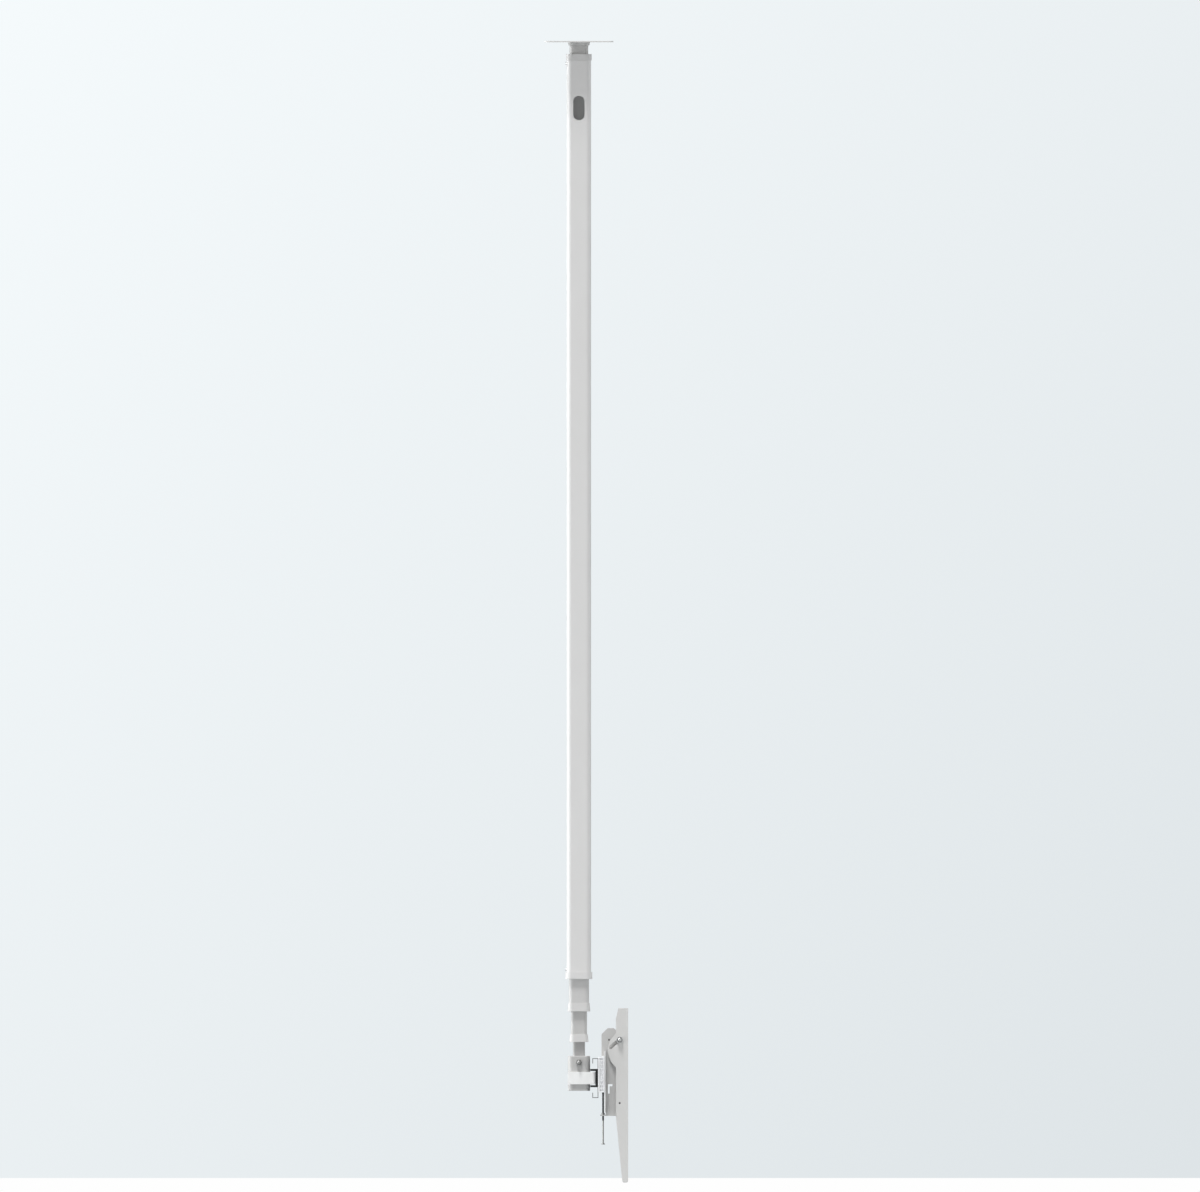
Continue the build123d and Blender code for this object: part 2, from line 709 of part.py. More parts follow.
def make_bracket(x):
    """Folded bracket: two hook-shaped sides, a web at the back and a tab for the lock screw."""
    front = arm_inside + bracket_front_inset
    hook_front = hook_back - hook_chamfer - hook_top_length
    side_plane = Plane.YZ.offset(x)
    with BuildPart() as bracket:
        with BuildSketch(side_plane):
            with BuildLine():
                Polyline(
                    (hook_back, hook_plate_top - hook_leg_drop),
                    (hook_back, hook_top - hook_chamfer),
                    (hook_back - hook_chamfer, hook_top),
                    (hook_front, hook_top),
                    (hook_front - bracket_corner, hook_top - bracket_corner),
                    (front, hook_top - bracket_nose_drop),
                    (front, tab_bottom + bracket_low_height),
                    (arm_inside + bracket_low_inset, tab_bottom),
                    (bracket_back + tab_reach, tab_bottom),
                    (bracket_back + tab_reach, tab_top),
                    (bracket_back, tab_top),
                    (bracket_back, hook_plate_top + loose_gap),
                    (slot_back, hook_plate_top + loose_gap),
                    (slot_back, hook_plate_top - hook_leg_drop),
                    close=True,
                )
            make_face()
            fillet(vertices().sort_by(Axis.Y)[-4:], hook_corner)
        extrude(amount=bracket_width / 2, both=True)
        # Space between the two sides, in front of the web and above it
        inside = bracket_width - 2 * bracket_wall
        with BuildSketch(side_plane):
            with BuildLine():
                Polyline(
                    (bracket_back - bracket_wall, tab_bottom),
                    (bracket_back - bracket_wall, hook_plate_top - web_top_drop),
                    (hook_back, hook_plate_top - web_top_drop),
                    (hook_back, hook_top),
                    (arm_inside, hook_top),
                    (arm_inside, tab_bottom),
                    close=True,
                )
            make_face()
        extrude(amount=inside / 2, both=True, mode=Mode.SUBTRACT)
        # Bolt holes, rivet holes, guide slots and windows in both sides
        with BuildSketch(side_plane):
            with Locations((tilt_bolt_y, tilt_bolt_z)):
                Circle(tilt_bolt_radius + seat_gap)
            with Locations((hook_rivet_y, hook_rivet_z)):
                Circle(hook_rivet_radius + seat_gap)
            SlotArc(pin_slot_line, 2 * (guide_pin_radius + loose_gap))
            window_top = head_z - window_drop
            window_back = bracket_back - window_inset
            with Locations((window_back, window_top)):
                Rectangle(window_length, window_bar, align=(Align.MAX, Align.MAX))
                Rectangle(window_leg, window_height, align=(Align.MAX, Align.MAX))
        extrude(amount=bracket_width / 2, both=True, mode=Mode.SUBTRACT)
        # Hole for the lock screw in the tab
        with BuildSketch(Plane.XY.offset(tab_bottom)):
            with Locations((x, lock_y)):
                Circle(lock_radius + turn_gap)
        extrude(amount=tab_thickness, mode=Mode.SUBTRACT)
    return bracket


def make_hook_rivet(x):
    """Rivet that ties the two sides of the hook together."""
    with BuildPart() as rivet:
        with BuildSketch(Plane(origin=(x, hook_rivet_y, hook_rivet_z), z_dir=(1, 0, 0))):
            Circle(hook_rivet_radius)
        extrude(amount=bracket_width / 2, both=True)
    return rivet


def make_arm(x):
    """Folded channel with an ear on each side, arc slots in the ears and holes for the screen."""
    side_plane = Plane.YZ.offset(x)
    taper_top = arm_bottom + arm_taper_height
    with BuildPart() as arm:
        with BuildSketch(side_plane):
            with BuildLine():
                Polyline(
                    (arm_back, arm_top - ear_end_drop),
                    (arm_back, taper_top),
                    (arm_back - arm_taper, arm_bottom),
                    (arm_face, arm_bottom),
                    (arm_face, arm_top),
                    (arm_back - arm_top_cut, arm_top),
                    (arm_back, arm_top - arm_top_cut_height),
                    (arm_back, arm_top - ear_start),
                    (arm_back + ear_shoulder, arm_top - ear_shoulder_drop),
                )
                ThreePointArc(
                    (arm_back + ear_shoulder, arm_top - ear_shoulder_drop),
                    (arm_back + ear_reach, arm_top - ear_middle_drop),
                    (arm_back, arm_top - ear_end_drop),
                )
            make_face()
        extrude(amount=arm_width / 2, both=True)
        fillet(edges().filter_by(Axis.X).group_by(Axis.Z)[0], arm_corner)
        # Inside of the channel, open at the back and at both ends
        with BuildSketch(side_plane):
            with Locations(((arm_inside + bracket_back) / 2, tilt_axis_z)):
                Rectangle(bracket_back - arm_inside, arm_length)
        extrude(amount=arm_width / 2 - arm_wall, both=True, mode=Mode.SUBTRACT)
        # Arc slots for the tilt bolt and holes for the guide pin
        with BuildSketch(side_plane):
            SlotArc(bolt_slot_line, 2 * (tilt_bolt_radius + side_gap))
            with Locations((tilt_bolt_y, guide_pin_z)):
                Circle(guide_pin_radius + seat_gap)
        extrude(amount=arm_width / 2, both=True, mode=Mode.SUBTRACT)
        # Row of holes for the screen
        face_plane = Plane(origin=(x, arm_face, tilt_axis_z), x_dir=(1, 0, 0), z_dir=(0, -1, 0))
        with BuildSketch(face_plane):
            with GridLocations(1, screen_hole_pitch, 1, screen_hole_count):
                Circle(screen_hole_radius)
        extrude(amount=-arm_wall, mode=Mode.SUBTRACT)
    return arm


def make_tilt_bolt(x, side):
    """Bolt through the bracket and both ears, with its head on the inner side of the arm."""
    washer_face = arm_width / 2 + loose_gap + washer_thickness
    with BuildPart() as bolt:
        bolt_plane = Plane(origin=(x - side * washer_face, tilt_bolt_y, tilt_bolt_z), z_dir=(-side, 0, 0))
        with BuildSketch(bolt_plane):
            RegularPolygon(tilt_hex_radius, 6)
        extrude(amount=tilt_hex_height)
        with BuildSketch(bolt_plane):
            Circle(tilt_bolt_radius)
        extrude(amount=-(2 * washer_face + tilt_hex_height + tilt_bolt_end))
    return bolt


def make_tilt_washers(x):
    """Washers on both sides of the arm."""
    with BuildPart() as washers:
        for side in (-1, 1):
            origin = (x + side * (arm_width / 2 + loose_gap), tilt_bolt_y, tilt_bolt_z)
            with BuildSketch(Plane(origin=origin, z_dir=(side, 0, 0))):
                Circle(washer_radius)
                Circle(tilt_bolt_radius + seat_gap, mode=Mode.SUBTRACT)
            extrude(amount=washer_thickness)
    return washers


def make_tilt_nut(x, side):
    """Nut on the end of the tilt bolt, on the outer side of the arm."""
    washer_face = arm_width / 2 + loose_gap + washer_thickness
    with BuildPart() as nut:
        with BuildSketch(Plane(origin=(x + side * washer_face, tilt_bolt_y, tilt_bolt_z), z_dir=(side, 0, 0))):
            RegularPolygon(tilt_hex_radius, 6)
            Circle(tilt_bolt_radius + seat_gap, mode=Mode.SUBTRACT)
        extrude(amount=tilt_hex_height)
    return nut


def make_guide_pin(x):
    """Pin across the arm that runs in the bracket's arc slots."""
    with BuildPart() as pin:
        with BuildSketch(Plane(origin=(x, tilt_bolt_y, guide_pin_z), z_dir=(1, 0, 0))):
            Circle(guide_pin_radius)
        extrude(amount=arm_width / 2, both=True)
    return pin


def make_lock_screw(x):
    """Long screw from below: thread, thin rod and a flat head."""
    with BuildPart() as lock:
        tip = box_bottom - loose_gap
        with BuildSketch(Plane(origin=(x, lock_y, tip), z_dir=(0, 0, -1))):
            Circle(lock_radius)
        extrude(amount=lock_thread_length)
        with BuildSketch(Plane(origin=(x, lock_y, tip - lock_thread_length), z_dir=(0, 0, -1))):
            Circle(lock_rod_radius)
        extrude(amount=lock_length - lock_thread_length - lock_head_height)
        with BuildSketch(Plane(origin=(x, lock_y, tip - lock_length), z_dir=(0, 0, 1))):
            Circle(lock_head_radius)
        extrude(amount=lock_head_height)
    return lock


def make_lock_nut(x):
    """Nut on the bracket's tab."""
    with BuildPart() as nut:
        with BuildSketch(Plane(origin=(x, lock_y, tab_top), z_dir=(0, 0, 1))):
            RegularPolygon(lock_nut_radius, 6)
            Circle(lock_radius + turn_gap, mode=Mode.SUBTRACT)
        extrude(amount=lock_nut_height)
    return nut


# The left side is at -X and the right side at +X
for side, side_name in ((-1, "left"), (1, "right")):
    arm_x = side * arm_spacing / 2
    save(make_end_cap(side), f"{side_name}_end_cap")
    save(make_bracket(arm_x), f"{side_name}_tilt_bracket")
    save(make_hook_rivet(arm_x), f"{side_name}_hook_rivet")
    save(make_arm(arm_x), f"{side_name}_arm")
    save(make_tilt_bolt(arm_x, side), f"{side_name}_tilt_bolt")
    save(make_tilt_washers(arm_x), f"{side_name}_tilt_washers")
    save(make_tilt_nut(arm_x, side), f"{side_name}_tilt_nut")
    save(make_guide_pin(arm_x), f"{side_name}_guide_pin")
    save(make_lock_screw(arm_x), f"{side_name}_lock_screw")
    save(make_lock_nut(arm_x), f"{side_name}_lock_nut")
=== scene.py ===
# %% [markdown]
# A telescopic ceiling mount for a flat screen: a long white pole of nested square tubes, a swivel
# head, a cross rail and two tilting arms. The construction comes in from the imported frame, at its
# real size and place. This lesson gives every surface its finish, models the rolled tube, the threaded
# fasteners and the ribbed caps that the solids leave plain, and sets up the side view with soft studio
# light.

# %% Load the frame
import bmesh
import bpy
import math
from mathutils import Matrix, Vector


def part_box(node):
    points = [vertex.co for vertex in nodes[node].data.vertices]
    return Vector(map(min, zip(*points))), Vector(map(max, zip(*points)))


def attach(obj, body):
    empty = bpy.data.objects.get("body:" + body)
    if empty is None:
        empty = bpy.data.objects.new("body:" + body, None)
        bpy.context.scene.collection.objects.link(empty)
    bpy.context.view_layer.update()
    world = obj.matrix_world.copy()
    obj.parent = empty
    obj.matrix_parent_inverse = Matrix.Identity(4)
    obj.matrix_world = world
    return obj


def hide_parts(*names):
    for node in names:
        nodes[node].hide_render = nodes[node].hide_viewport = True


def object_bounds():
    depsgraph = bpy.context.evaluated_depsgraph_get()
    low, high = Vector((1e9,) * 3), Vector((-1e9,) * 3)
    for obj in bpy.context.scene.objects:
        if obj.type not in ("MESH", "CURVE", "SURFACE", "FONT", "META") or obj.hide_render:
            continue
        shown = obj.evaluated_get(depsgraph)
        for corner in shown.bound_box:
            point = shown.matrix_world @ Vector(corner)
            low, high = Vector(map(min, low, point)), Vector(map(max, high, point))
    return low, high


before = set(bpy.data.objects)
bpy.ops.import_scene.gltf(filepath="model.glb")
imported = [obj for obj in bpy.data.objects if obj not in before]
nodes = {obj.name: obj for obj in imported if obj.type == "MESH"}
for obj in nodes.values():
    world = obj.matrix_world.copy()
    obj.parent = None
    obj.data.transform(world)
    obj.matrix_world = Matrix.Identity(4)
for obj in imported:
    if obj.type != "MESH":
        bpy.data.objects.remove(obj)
cad_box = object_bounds()
scene = bpy.context.scene
print("pieces of the frame:", len(nodes))

# %% [markdown]
# Colours are written as the hex values that a paint chart or a screen shows. Shaders work in linear
# light, so one function turns the one into the other. A second small function adds a shader node:
# settings are its attributes, and inputs are either plain values or sockets of other nodes. A third
# one does sums with such sockets.

# %% Small helpers for shader nodes
def linear(hex_colour):
    """Linear RGBA of an sRGB hex colour."""
    channels = [int(hex_colour[i:i + 2], 16) / 255 for i in (1, 3, 5)]
    return [c / 12.92 if c <= 0.04045 else ((c + 0.055) / 1.055) ** 2.4 for c in channels] + [1.0]


def add_node(tree, kind, inputs=(), **settings):
    """Add one shader node with its settings and its inputs, and return it."""
    node = tree.nodes.new(kind)
    for name, value in settings.items():
        setattr(node, name, value)
    for name, value in dict(inputs).items():
        if isinstance(value, bpy.types.NodeSocket):
            tree.links.new(value, node.inputs[name])
        else:
            node.inputs[name].default_value = value
    return node


def compute(tree, operation, *values):
    """Result of one Math node."""
    return add_node(tree, "ShaderNodeMath", dict(enumerate(values)), operation=operation).outputs[0]


# %% [markdown]
# Every finish on this mount is built in the same way. A slow pattern mixes two near colours and varies
# the shine. Paint and plastic also have a fine pattern as bump, and a Bevel node bends the shading at
# the edges as if they were a little round, without a change of shape. All patterns are laid out in
# Object coordinates with cells in millimetres, so they have the same size on every piece.

# %% Building blocks of a finish
def new_material(name):
    """Node material with its tree and its Principled shader."""
    material = bpy.data.materials.new(name)
    material.use_nodes = True
    return material, material.node_tree, material.node_tree.nodes["Principled BSDF"]


def object_place(tree):
    """Socket with the place on the object."""
    return add_node(tree, "ShaderNodeTexCoord").outputs["Object"]


def per_metre(millimetres):
    """Texture scale at which one cell of a pattern has the given size."""
    return 1000 / millimetres


def noise(tree, place, cell_mm, detail):
    """Soft noise with cells of the given size."""
    inputs = {"Vector": place, "Scale": per_metre(cell_mm), "Detail": detail}
    return add_node(tree, "ShaderNodeTexNoise", inputs).outputs["Fac"]


def colour_and_shine(tree, shader, mix, colours, smoothest, roughest):
    """Let one pattern mix two colours and vary the roughness."""
    colour, shade = (linear(value) for value in colours)
    tone = add_node(tree, "ShaderNodeMix", {"Factor": mix, "A": colour, "B": shade}, data_type="RGBA")
    shine = add_node(tree, "ShaderNodeMapRange", {"Value": mix, "To Min": smoothest, "To Max": roughest})
    tree.links.new(tone.outputs["Result"], shader.inputs["Base Color"])
    tree.links.new(shine.outputs["Result"], shader.inputs["Roughness"])


def relief(tree, shader, height, strength, depth, edge_radius):
    """Fine bump on top of shading that rounds the edges a little."""
    edge = add_node(tree, "ShaderNodeBevel", {"Radius": edge_radius}, samples=4).outputs["Normal"]
    inputs = {"Height": height, "Strength": strength, "Distance": depth, "Normal": edge}
    bump = add_node(tree, "ShaderNodeBump", inputs)
    tree.links.new(bump.outputs["Normal"], shader.inputs["Normal"])


# %% [markdown]
# Powder coat is a plastic powder that is sprayed on steel and melted. It gives an even satin skin
# with a faint orange peel of one or two millimetres, and it lies a little thinner here and there,
# which shows as very soft clouds. The clouds are drawn about a hand wide so that they show on a pole
# that is nearly three metres long. The melted powder also rounds every edge of the sheet. The three
# grey coats are white powder coat with painted shade: the inner tubes, the sleeve, the stub and the
# tilt brackets lie in the shade of the parts above them, and that shade is painted into their
# colour, deeper for the lower tubes. The strap is the whitest piece.

# %% Powder-coated steel
def powder_coat(name, colour, shade, roughness):
    """Satin powder coat: soft clouds of two near colours and a fine orange peel."""
    cloud_mm = 90
    peel_mm = 1.6
    material, tree, shader = new_material(name)
    place = object_place(tree)
    clouds = noise(tree, place, cloud_mm, detail=3.0)
    peel = noise(tree, place, peel_mm, detail=2.0)
    colour_and_shine(tree, shader, clouds, (colour, shade), roughness - 0.04, roughness + 0.05)
    relief(tree, shader, peel, strength=0.12, depth=0.0002, edge_radius=0.0007)
    shader.inputs["IOR"].default_value = 1.5
    return material


white_coat = powder_coat("white_powder_coat", "#DDDCDB", "#D9D8D7", 0.46)
arm_coat = powder_coat("satin_white_powder_coat", "#D7D6D4", "#D2D1CF", 0.46)
# Painted shade: these three greys are the white coat darkened for the shade under collars, plate, strap and
# arms.
second_shade_coat = powder_coat("white_coat_light_painted_shade", "#CCCBCA", "#C6C5C4", 0.46)
third_shade_coat = powder_coat("white_coat_mid_painted_shade", "#C4C3C2", "#BEBDBB", 0.46)
fourth_shade_coat = powder_coat("white_coat_deep_painted_shade", "#B7B6B5", "#B0AFAE", 0.46)
# The strap's bright white is its own; on the inner wall of the outer tube the same white is painted light.
enamel_and_painted_light = powder_coat("bright_white_enamel_and_painted_light", "#FEFEFD", "#FCFCFB", 0.38)
black_coat = powder_coat("black_powder_coat", "#1B1C1E", "#232426", 0.5)
print("coats: five from white to silver grey, and", enamel_and_painted_light.name, "and", black_coat.name)

# %% [markdown]
# The collars and end caps are moulded ABS. A mould is etched with a fine grain so that the part
# looks matt and hides scratches. A Voronoi pattern with cells of 0.8 mm gives that grain as bump, and
# a slow noise varies the shine where the melt flowed. Nylon and rubber are made by the same function.

# %% Moulded plastics
def moulded_plastic(name, colour, shade, roughness):
    """Matt moulded plastic with an etched grain."""
    flow_mm = 30
    grain_mm = 0.8
    material, tree, shader = new_material(name)
    place = object_place(tree)
    flow = noise(tree, place, flow_mm, detail=2.0)
    grain = add_node(tree, "ShaderNodeTexVoronoi", {"Vector": place, "Scale": per_metre(grain_mm)})
    colour_and_shine(tree, shader, flow, (colour, shade), roughness - 0.05, roughness + 0.05)
    relief(tree, shader, grain.outputs["Distance"], strength=0.1, depth=0.0001, edge_radius=0.0012)
    shader.inputs["IOR"].default_value = 1.53
    return material


white_abs = moulded_plastic("white_moulded_abs", "#DDDCDB", "#D8D7D6", 0.5)
# Painted shade: this pale grey is the white ABS darkened for the shade under the ceiling plate and the
# larger collars.
shaded_pale_abs = moulded_plastic("white_abs_with_painted_shade", "#D3D2D1", "#CCCBCA", 0.5)
cap_abs = moulded_plastic("ribbed_cap_abs", "#FDFDFE", "#F6F7F9", 0.5)
grey_nylon = moulded_plastic("grey_nylon", "#8C8E90", "#828486", 0.55)
# Painted shade in part: this black rubber on the screw tips also stands for the rail's shadow.
rubber_and_painted_shade = moulded_plastic("rubber_and_painted_shade", "#1B1B1C", "#232324", 0.7)
print("plastics: three of ABS,", grey_nylon.name, "and", rubber_and_painted_shade.name)

# %% [markdown]
# The fasteners are zinc-plated: a bright, slightly cloudy metal that dulls to dark grey with age and
# handling, so it comes in several tones. The lipped channel is galvanised strip. The nuts of the yoke and
# the threads of the stop screws are blackened, with an oxide film that is dark and dull; on the threads
# the black is also painted shade, for the shadow that the rail casts on them. All of them come from one
# function, because all are metal with a crystalline mottle of a few millimetres.

# %% Plated and blackened steel
def plated_steel(name, colour, shade, roughness):
    """Metal with a soft mottle in colour and shine, as plating leaves it."""
    mottle_mm = 3.0
    material, tree, shader = new_material(name)
    mottle = noise(tree, object_place(tree), mottle_mm, detail=4.0)
    colour_and_shine(tree, shader, mottle, (colour, shade), roughness - 0.08, roughness + 0.08)
    shader.inputs["Metallic"].default_value = 1.0
    return material


bright_zinc = plated_steel("bright_zinc_plate", "#D8D7D6", "#C6C4C3", 0.3)
plain_zinc = plated_steel("plain_zinc_plate", "#CBCAC8", "#BBBAB7", 0.34)
satin_zinc = plated_steel("satin_zinc_plate", "#ADABA9", "#9D9B98", 0.38)
dull_zinc = plated_steel("dull_zinc_plate", "#8D8C8A", "#7C7B79", 0.42)
grey_zinc = plated_steel("grey_zinc_plate", "#807E7B", "#706E6B", 0.42)
dark_zinc = plated_steel("dark_zinc_plate", "#676664", "#5A5957", 0.45)
galvanised = plated_steel("galvanised_strip", "#8E8E8E", "#808080", 0.5)
# Painted shade in part: on the stop screws' threads this black also stands for the rail's shadow.
black_oxide_and_painted_shade = plated_steel("blackened_steel_and_painted_shade", "#3A3B3D", "#2C2D2F", 0.45)
print("metals: six tones of zinc,", galvanised.name, "and", black_oxide_and_painted_shade.name)

# %% [markdown]
# Each piece of the frame is one solid of one material, so its finish goes into its first material
# slot. The groups follow how the mount is made: painted steel, moulded plastic and plated fasteners,
# and the grey coats and the pale ABS also carry painted shade.

# %% Give every piece of the frame its finish
finish_of = {
    white_abs: ["outer_collar", "left_end_cap", "right_end_cap"],
    # Painted shade: these collars get the darkened ABS for the shade they lie in.
    shaded_pale_abs: ["top_collar", "second_collar", "third_collar"],
    arm_coat: ["ceiling_plate", "left_arm", "right_arm"],
    grey_nylon: ["stub_spacer", "second_guide", "third_guide", "fourth_guide", "swivel_bush"],
    enamel_and_painted_light: ["swivel_bracket"],
    # Painted shade: the grey coats below stand for the shade on these pieces from the collars, plate, strap
    # and arms.
    second_shade_coat: ["second_tube"],
    third_shade_coat: ["third_tube", "swivel_sleeve", "ceiling_stub", "left_tilt_bracket", "right_tilt_bracket"],
    fourth_shade_coat: ["fourth_tube"],
    black_coat: ["yoke"],
    bright_zinc: [
        "stub_screws", "outer_lock_screw", "second_lock_screw", "third_lock_screw", "swivel_lock_bolt",
        "yoke_bolts", "left_tilt_washers", "right_tilt_washers",
    ],
    galvanised: ["rail_channel"],
    dark_zinc: [
        "left_guide_pin", "right_guide_pin", "left_hook_rivet", "right_hook_rivet",
        "left_lock_nut", "right_lock_nut",
    ],
    black_oxide_and_painted_shade: ["yoke_nuts"],
}
finish_by_node = {node: material for material, group in finish_of.items() for node in group}
for name, piece in nodes.items():
    piece.data.materials.clear()
    piece.data.materials.append(finish_by_node.get(name, white_coat))
print("finished:", len(finish_by_node), "pieces by name, the rest in white powder coat")

# %% [markdown]
# These helpers keep the modelling cells short. Some stand for a single operator: select one object,
# write its place into its mesh, cut it with another one. One picks faces, edges or corners in edit mode
# by a test on their place or direction. A face looks along an axis if its normal has more than nine
# tenths of its length there. The last helper gives a finished piece its name and lets it ride on a body
# of the mount in place of the plain solid.

# %% Helpers for modelling
facing = 0.9
sharp_corner = math.radians(60)
smooth_corner = math.radians(35)


def only(piece):
    """Select one object and make it the active one."""
    bpy.ops.object.select_all(action="DESELECT")
    piece.select_set(True)
    bpy.context.view_layer.objects.active = piece


def settle():
    """Write the place, turn and size of the selected object into its mesh."""
    bpy.ops.object.transform_apply(location=True, rotation=True, scale=True)


def pick(kind, test):
    """In edit mode, select the verts, edges or faces that pass a test."""
    bpy.ops.mesh.select_mode(type={"verts": "VERT", "edges": "EDGE", "faces": "FACE"}[kind])
    bpy.ops.mesh.select_all(action="DESELECT")
    mesh = bpy.context.object.data
    shape = bmesh.from_edit_mesh(mesh)
    for item in getattr(shape, kind):
        if test(item):
            item.select_set(True)
    bmesh.update_edit_mesh(mesh)


def extrude(x=0, y=0, z=0):
    """In edit mode, extrude what is selected by a step."""
    bpy.ops.mesh.extrude_region_move(TRANSFORM_OT_translate={"value": (x, y, z)})


def modify(piece, kind, **settings):
    """Add a modifier, set it up and apply it."""
    only(piece)
    bpy.ops.object.modifier_add(type=kind)
    modifier = piece.modifiers[-1]
    for name, value in settings.items():
        setattr(modifier, name, value)
    bpy.ops.object.modifier_apply(modifier=modifier.name)


def combine(piece, tool, operation):
    """Cut a piece with a tool body, or keep what both share, and remove the tool."""
    modify(piece, "BOOLEAN", object=tool, operation=operation, solver="EXACT")
    only(tool)
    bpy.ops.object.delete()


def join(pieces):
    """Join pieces into the first one and return it."""
    only(pieces[0])
    for piece in pieces[1:]:
        piece.select_set(True)
    bpy.ops.object.join()
    settle()
    return bpy.context.object


def finish_with(piece, material):
    """Give a whole piece one finish."""
    piece.data.materials.clear()
    piece.data.materials.append(material)
    return piece


def set_down(piece, name, body, replaced):
    """Settle a finished piece, smooth its shading, and let it stand for a solid on its body."""
    only(piece)
    settle()
    bpy.ops.object.shade_smooth_by_angle(angle=smooth_corner)
    modify(piece, "WEIGHTED_NORMAL", weight=100, keep_sharp=True)
    piece.name = piece.data.name = name
    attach(piece, body)
    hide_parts(replaced)
    print(name, "has", len(piece.data.polygons), "faces and rides on", body)


# %% [markdown]
# The pole's outer tube is rolled from steel strip, so its corners are smooth arcs, and the cable slot
# is punched through one side with a slightly rolled edge. A block is bevelled along its four standing
# edges, loses its ends and gets a wall. The inner side of the wall takes the brighter white, which is
# painted light: it lifts the shade inside the pole where it shows through the slot. An oblong punch,
# made from a round bar pulled apart in the middle, then cuts the slot.

# %% Outer tube with its punched cable slot
tube_wall = 0.002
tube_corner = 0.012
slot_width = 0.028
slot_height = 0.060
slot_middle = -0.165
rolled_edge = 0.0006
standing_length = 1.0
hair = 0.0001
low, high = (Vector(corner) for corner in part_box("outer_tube"))
bpy.ops.mesh.primitive_cube_add(size=1, location=(low + high) / 2, scale=high - low)
pole = bpy.context.object
settle()
bpy.ops.object.mode_set(mode="EDIT")
pick("edges", lambda edge: abs((edge.verts[0].co - edge.verts[1].co).z) > standing_length)
bpy.ops.mesh.bevel(offset=tube_corner, segments=10, affect="EDGES")
pick("faces", lambda face: abs(face.normal.z) > facing)
bpy.ops.mesh.delete(type="ONLY_FACE")
bpy.ops.object.mode_set(mode="OBJECT")
# Painted light: the second finish goes on the inner side of the wall and brightens the shaded inside of the
# pole.
for finish in (white_coat, enamel_and_painted_light):
    pole.data.materials.append(finish)
modify(pole, "SOLIDIFY", thickness=tube_wall, offset=-1.0, material_offset=1)

straight = slot_height - slot_width
upper_middle = slot_middle + straight / 2
bpy.ops.mesh.primitive_cylinder_add(
    vertices=64,
    radius=slot_width / 2,
    depth=6 * tube_wall,
    location=(low.x, 0, upper_middle),
    rotation=(0, math.radians(90), 0),
)
punch = bpy.context.object
settle()
bpy.ops.object.mode_set(mode="EDIT")
pick("verts", lambda vert: vert.co.z < upper_middle - hair)
bpy.ops.transform.translate(value=(0, 0, -straight))
bpy.ops.object.mode_set(mode="OBJECT")
combine(pole, punch, "DIFFERENCE")
modify(pole, "BEVEL", width=rolled_edge, segments=2, limit_method="ANGLE", angle_limit=sharp_corner)
set_down(pole, "pole_outer_tube", "ceiling_section", "outer_tube")

# %% [markdown]
# A bolt's hexagon is cut from a bar and its corners are turned off at about thirty degrees, which
# leaves a round rim and curved edges. So a six-sided prism is intersected with a turned disc. The disc
# is a cylinder whose top face is extruded a little and drawn in.

# %% Hexagon with turned corners
def hexagon(radius, height):
    """Hexagon block that stands on the origin along +Z, with its upper corners turned off."""
    turned = 0.09 * radius
    rim_share = 0.84
    plain = height - turned
    bpy.ops.mesh.primitive_cylinder_add(vertices=6, radius=radius, depth=height, location=(0, 0, height / 2))
    block = bpy.context.object
    bpy.ops.mesh.primitive_cylinder_add(vertices=72, radius=radius, depth=plain, location=(0, 0, plain / 2))
    disc = bpy.context.object
    bpy.ops.object.mode_set(mode="EDIT")
    pick("faces", lambda face: face.normal.z > facing)
    extrude(z=turned)
    bpy.ops.transform.resize(value=(rim_share, rim_share, 1))
    bpy.ops.object.mode_set(mode="OBJECT")
    combine(block, disc, "INTERSECT")
    only(block)
    settle()
    return block


# %% [markdown]
# A screw thread is one V-shaped ridge wound along a bar. The ridge's outline is three points: root,
# crest and root again, one pitch apart. The Screw modifier winds that line up along the axis, and a
# plain core with bevelled ends closes it. The pitch is drawn a little coarser than the standard one
# so that the thread still shows.

# %% Threaded bar
def threaded_bar(radius, length, pitch):
    """Bar along +Z from the origin with a V thread and bevelled ends."""
    root = radius - 0.6 * pitch
    core_radius = root + 0.1 * pitch
    end_bevel = 0.4 * pitch
    weld = 0.00001
    turns = int(length / pitch) - 2
    steps = 18
    bpy.ops.mesh.primitive_plane_add(size=pitch)
    ridge = bpy.context.object
    bpy.ops.object.mode_set(mode="EDIT")
    pick("verts", lambda vert: vert.co.x < 0 and vert.co.y < 0)
    bpy.ops.mesh.delete(type="VERT")
    bpy.ops.object.mode_set(mode="OBJECT")
    places = {(1, -1): (root, 0), (1, 1): (radius, pitch / 2), (-1, 1): (root, pitch)}
    for vert in ridge.data.vertices:
        x, z = places[(int(math.copysign(1, vert.co.x)), int(math.copysign(1, vert.co.y)))]
        vert.co = (x, 0, z + pitch / 2)
    modify(
        ridge, "SCREW", screw_offset=pitch, iterations=turns, steps=steps, render_steps=steps,
        use_merge_vertices=True,
    )
    bpy.ops.object.mode_set(mode="EDIT")
    bpy.ops.mesh.select_all(action="SELECT")
    bpy.ops.mesh.remove_doubles(threshold=weld)
    bpy.ops.mesh.normals_make_consistent(inside=False)
    bpy.ops.object.mode_set(mode="OBJECT")
    bpy.ops.mesh.primitive_cylinder_add(
        vertices=36, radius=core_radius, depth=length, location=(0, 0, length / 2)
    )
    core = bpy.context.object
    bpy.ops.object.mode_set(mode="EDIT")
    pick("faces", lambda face: abs(face.normal.z) > facing)
    bpy.ops.mesh.bevel(offset=end_bevel, segments=2, affect="EDGES")
    bpy.ops.object.mode_set(mode="OBJECT")
    return join([core, ridge])


